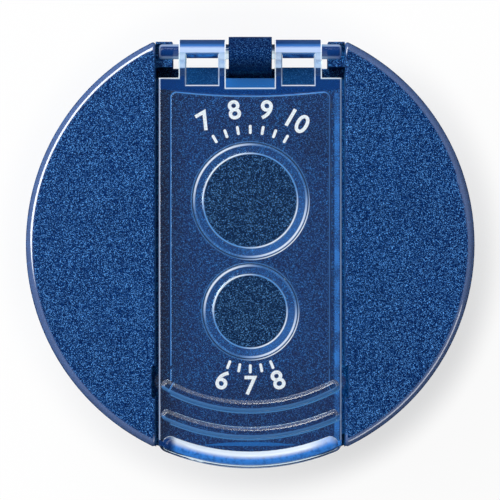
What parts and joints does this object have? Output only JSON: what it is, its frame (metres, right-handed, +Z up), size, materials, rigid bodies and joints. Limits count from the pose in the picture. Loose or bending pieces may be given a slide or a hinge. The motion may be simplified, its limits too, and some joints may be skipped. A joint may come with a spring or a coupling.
{
  "type": "tub pencil sharpener",
  "caption": "Round drum pencil sharpener with a standard and a jumbo hole under a clear hinged flap, and a pull-off cap that carries the blades over a shavings tub.",
  "frame": {"origin": "on the drum's axis at its flat underside", "axes": "+Z up, +Y towards the hinge of the flap, +X to the right of someone who faces the lip"},
  "size_m": [0.054, 0.052, 0.0403],
  "materials": {
    "flake_plastic": "dark blue with fine metallic flakes, satin faces and polished edges",
    "clear_plastic": "clear blue, glossy",
    "blade_steel": "ground steel",
    "screw_steel": "plain zinc-coated steel"
  },
  "bodies": {
    "tub": {"tub": "flake_plastic"},
    "cap": {"head_cap": "flake_plastic", "sharpener_insert": "flake_plastic", "blade_standard": "blade_steel", "blade_jumbo": "blade_steel", "blade_screw_standard": "screw_steel", "blade_screw_jumbo": "screw_steel"},
    "flap": {"cover_flap": "clear_plastic"}
  },
  "joints": [
    {"name": "cap_lift_off", "type": "slide", "parent": "tub", "child": "cap", "axis": [0, 0, 1], "range_m": [0, 0.03]},
    {"name": "flap_hinge", "type": "hinge", "parent": "cap", "child": "flap", "pos_m": [0, 0.0232, 0.03825], "axis": [-1, 0, 0], "range_deg": [0, 180]}
  ]
}
